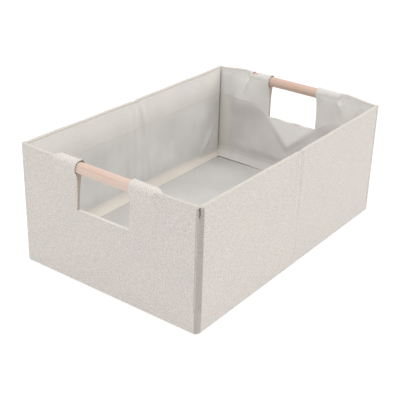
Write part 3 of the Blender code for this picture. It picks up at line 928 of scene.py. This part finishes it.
CORNER_FULLNESS = {(-1, -1): 0.0, (-1, 1): 1.0, (1, -1): 0.9, (1, 1): 0.6}
TRAY_FULLNESS = 0.55  # the least of the bottom's own corners
DIAGONAL = 0.707
CORNER_BODIES = {
    (-1, -1): ("root", "front_left_wall"),
    (-1, 1): ("root", "back_left_wall"),
    (1, -1): ("right_end_wall", "front_right_wall"),
}


def corner_curve(end, side, share, end_face, side_face, least):
    """The corner cloth's plan from the end wall to the long wall: straight, or rounded out."""
    fullness = np.maximum(CORNER_FULLNESS[end, side], least)
    start = (end_face, END_WALL_SPAN + HINGE_EDGE)
    finish = (SIDE_WALL_END + HINGE_EDGE, side_face)
    points = []
    for a, b, out in zip(start, finish, (END_FACE, SIDE_FACE)):
        middle = (a + b) / 2
        pull = middle + (out - middle) * 1.2 * fullness
        points.append((1 - share) ** 2 * a + 2 * share * (1 - share) * pull + share**2 * b)
    return points


def corner_cloth(name, end, side):
    """The cloth between two walls at a corner: hollow or full, closed by the rim's elbow."""
    section = [path[: FACING_ROW + 3] for path in rim_path()]
    d, z, t, q = section_grid(section, steps(0.0, 24, 1.0))
    below = RIM_HEIGHT - z
    hollow = 1 - CORNER_FULLNESS[end, side]
    body = smooth(SKIRT_TOP, 34 * MM, z) * smooth(1 * MM, 7 * MM, below)
    wander = 1 + 0.5 * ripple(q, z, 0.7, 34 * MM, 61.0 + 3 * end + side)
    valley = np.minimum(q / FOLD_LINE, (1 - q) / (1 - FOLD_LINE)) ** 0.7
    under_rim = smooth(17 * MM, 10 * MM, below) * smooth(1.0 * MM, 2.5 * MM, below)
    sag = hollow * 2.0 * MM * wander * body * valley
    sag = (sag + 1.1 * MM * bell(q, FOLD_LINE, 0.14) * under_rim * hollow) * (1 - d / WALL)
    foot = TRAY_FULLNESS * smooth(30 * MM, SKIRT_TOP, z)  # it meets the bottom's fuller corner
    x, y = corner_curve(end, side, q, END_FACE - d, SIDE_FACE - d, foot)
    points = np.stack([end * (x - DIAGONAL * sag), side * (y - DIAGONAL * sag), z], -1)
    span = math.hypot(END_FACE - SIDE_WALL_END, SIDE_FACE - END_WALL_SPAN)
    look = wall_look(d)
    # the slit under the rim's elbow gets the near-black material, a painted shadow
    if hollow == 1:
        down = below[:-1, :-1]
        width = (0.075 + 0.03 * smooth(5 * MM, 7 * MM, down)) * smooth(16 * MM, 11 * MM, down)
        slit = np.abs(q[:-1, :-1] - FOLD_LINE - 0.02) < width
        look[slit & (d[:-1, :-1] < WALL / 2) & (down > 2.5 * MM)] = DARK
    mesh = sheet_mesh(name, [(rim_lifted(points), np.stack([q * span, t], -1), end * side < 0, look)])
    # the hollow corner gets the darker linen, a painted shade
    obj = add_object(name, mesh, CORNER_LINEN_PAINTED_SHADE if hollow == 1 else LINEN, RIM_LINEN, FACING_PAINTED_LIGHT, SLIT_PAINTED_SHADOW)
    return thicken(obj, CLOTH), (span, float(section[2][-1]))


def make_corners():
    for end_word, end in (("left", -1), ("right", 1)):
        for side_word, side in (("front", -1), ("back", 1)):
            obj, flat = corner_cloth(f"corner_{side_word}_{end_word}_cloth", end, side)
            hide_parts(f"corner_hinge_{side_word}_{end_word}")
            if (end, side) in CORNER_BODIES:
                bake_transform(obj)
            else:
                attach(obj, "right_end_wall")


# ---------------- bottom and base insert


def ring(corners, cuts, z):
    """A level outline through its corners' points, with each straight side cut up."""
    points = [point for corner in corners for point in corner]
    out = []
    for k, ((x, y), (to_x, to_y)) in enumerate(zip(points, points[1:] + points[:1])):
        count = cuts if (k + 1) % len(corners[0]) == 0 else 1
        out += [(x + (to_x - x) * i / count, y + (to_y - y) * i / count, z) for i in range(count)]
    return np.array(out + out[:1])


def rounded_ring(half_x, half_y, radius, z):
    """A rounded rectangle's outline, anticlockwise."""
    radius = min(radius, half_x, half_y)
    corners = []
    for k, (sx, sy) in enumerate(((1, 1), (-1, 1), (-1, -1), (1, -1))):
        angles = np.radians(np.linspace(0, 90, 7)) + k * math.pi / 2
        x, y = sx * (half_x - radius), sy * (half_y - radius)
        corners.append([(x + radius * math.cos(a), y + radius * math.sin(a)) for a in angles])
    return ring(corners, 24, z)


def tray_ring(inset, z):
    """The bottom's outline at a height, with corners that carry on the corner cloths."""
    corners = []
    for end, side in ((1, 1), (-1, 1), (-1, -1), (1, -1)):
        x, y = corner_curve(end, side, steps(0.0, 8, 1.0), END_FACE, SIDE_FACE, TRAY_FULLNESS)
        turn = slice(None, None, end * side)
        corners.append(list(zip(end * x[turn], side * y[turn])))
    return ring(corners, 40, z) * np.array([1 - inset / END_FACE, 1 - inset / SIDE_FACE, 1])


def bottom():
    """The sewn bottom: a skirt, a rounded lower edge and a flat underside."""
    radius = 0.9 * MM
    turn = np.radians(np.linspace(0, 90, 7))
    under = [(inset, 0.0) for inset in (SIDE_FACE, 90 * MM, 50 * MM, 20 * MM, 8 * MM)]
    rings = under + [(radius * (1 - math.sin(a)), radius * (1 - math.cos(a))) for a in turn]
    rings += [(0.0, z) for z in np.linspace(radius, SKIRT_TOP, 6)[1:]]
    points = np.array([tray_ring(*level) for level in rings])
    around = travelled(points[-1, :, 0], points[-1, :, 1])
    up = travelled(*np.array(rings).T) - 2 * SIDE_FACE
    look = plain(points)
    # the bottom's near corner carries on the corner cloth's darker linen, a painted shade
    middles = (points[-1, :-1] + points[-1, 1:]) / 2
    near_corner = (middles[:, 0] < -SIDE_WALL_END) & (middles[:, 1] < -END_WALL_SPAN)
    look[len(under) :, near_corner] = 1
    mesh = sheet_mesh("bottom_linen", [(points, np.stack(lattice(up, around)[::-1], -1), False, look)])
    obj = thicken(add_object("bottom_linen", mesh, LINEN, CORNER_LINEN_PAINTED_SHADE), BOTTOM_CLOTH)
    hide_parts("bottom_cloth")
    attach(obj, "root")


def base():
    """The base insert's cloth: a soft-edged top, its sides, and the hem under the board."""
    half_x, half_y, high = INSERT_HIGH
    low = INSERT_LOW[2]
    corner, edge, hem, foot = 4 * MM, 1.5 * MM, 25 * MM, 1.2 * MM
    rings = [(inset, low) for inset in (hem, 12 * MM, foot)]
    rings += [(0.0, z) for z in np.linspace(low + foot, high - edge, 4)]
    turn = np.radians(np.linspace(0, 90, 8))[1:]
    rings += [(edge * (1 - math.cos(a)), high - edge + edge * math.sin(a)) for a in turn]
    rings += [(inset * MM, high) for inset in (*np.linspace(4, 30, 7), *np.linspace(36, 112, 16))]
    rings = [(half_x - inset, half_y - inset, corner, z) for inset, z in rings]
    rings.append((half_x - half_y, 0.1 * MM, 0.1 * MM, high))
    points = np.array([rounded_ring(*level) for level in rings])
    x, y, z = points[..., 0], points[..., 1], points[..., 2]
    inner = smooth(3 * MM, 22 * MM, np.minimum(half_x - np.abs(x), half_y - np.abs(y)))
    wave = 0.5 * ripple(x, y, 90 * MM, 70 * MM, 71.0) + 0.25 * ripple(x, y, 30 * MM, 40 * MM, 73.0)
    points[..., 2] = z + np.where(z > high - 0.1 * MM, (wave - 0.75) * MM * inner, 0.0)
    around = travelled(x[0], y[0])
    down = travelled(np.array(rings)[:, 0], np.array(rings)[:, 3])
    uv = np.stack(lattice(down, around)[::-1], -1)
    mesh = sheet_mesh("base_cloth", [(points, uv, False, plain(points))], join=0.3 * MM)
    obj = thicken(add_object("base_cloth", mesh, BASE), INSERT_CLOTH)
    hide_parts("base_cover")
    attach(obj, "base_insert")


def dress_cad_nodes():
    for name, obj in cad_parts.items():
        look = MILLBOARD if name.endswith("_board") else TAPE if name == "bottom_seam_binding" else None
        if look is not None:
            obj.data.materials.clear()
            obj.data.materials.append(look)


# ---------------- camera, light and floor

CAMERA_ANGLES = (-53.81, 26.34, 1.68)  # azimuth, elevation and roll, in degrees
CAMERA_PLACE = (-0.8028, -0.5724, 0.5325)
CAMERA_LENS = 79.78


def make_camera():
    az, el, roll = (math.radians(angle) for angle in CAMERA_ANGLES)
    back = Vector((math.sin(az) * math.cos(el), -math.cos(az) * math.cos(el), math.sin(el)))
    right = Vector((math.cos(az), math.sin(az), 0.0))
    up = back.cross(right)
    rolled_right = math.cos(roll) * right + math.sin(roll) * up
    rolled_up = math.cos(roll) * up - math.sin(roll) * right
    data = bpy.data.cameras.new("camera")
    data.lens = CAMERA_LENS
    data.sensor_width = 36.0
    camera = add_object("camera", data)
    turn = Matrix((rolled_right, rolled_up, back)).transposed()
    camera.matrix_world = Matrix.Translation(CAMERA_PLACE) @ turn.to_4x4()
    bpy.context.scene.camera = camera


def area_light(name, place, target, size, power, colour=(1.0, 1.0, 1.0)):
    data = bpy.data.lights.new(name, "AREA")
    data.shape = "SQUARE"
    data.size = size
    data.energy = power
    data.color = colour
    light = add_object(name, data)
    light.location = place
    light.rotation_euler = (Vector(place) - Vector(target)).to_track_quat("Z", "Y").to_euler()


def make_studio():
    world = bpy.data.worlds.new("studio")
    world.use_nodes = True
    white = (1.0, 1.0, 1.0, 1.0)
    set_inputs(world.node_tree.nodes["Background"], {"Color": white, "Strength": 0.72})
    bpy.context.scene.world = world
    middle = (0.0, 0.0, 0.07)
    area_light("key", (0.9, -1.45, 1.35), middle, 1.1, 6.8, (1.0, 0.985, 0.96))
    area_light("fill", (-0.62, 0.55, 0.45), middle, 0.5, 0.43, (1.0, 0.99, 0.99))
    area_light("top", (0.0, 0.0, 1.7), middle, 1.4, 13.0)
    size = 6.0
    corners = [(-size, -size, 0), (size, -size, 0), (size, size, 0), (-size, size, 0)]
    pale = bpy.data.materials.new("floor_white")
    floor = add_object("floor", flat_mesh("floor", corners), pale)
    floor.location.z = -0.3 * MM
    pale.use_nodes = True
    shader = pale.node_tree.nodes["Principled BSDF"]
    set_inputs(shader, {"Base Color": (0.4, 0.4, 0.4, 1.0), "Roughness": 1.0})
    set_inputs(shader, {"Emission Color": white, "Emission Strength": 0.66})
    bpy.context.scene.view_settings.view_transform = "Standard"


make_long_walls()
make_end_walls()
make_corners()
bottom()
base()
dress_cad_nodes()
make_camera()
make_studio()
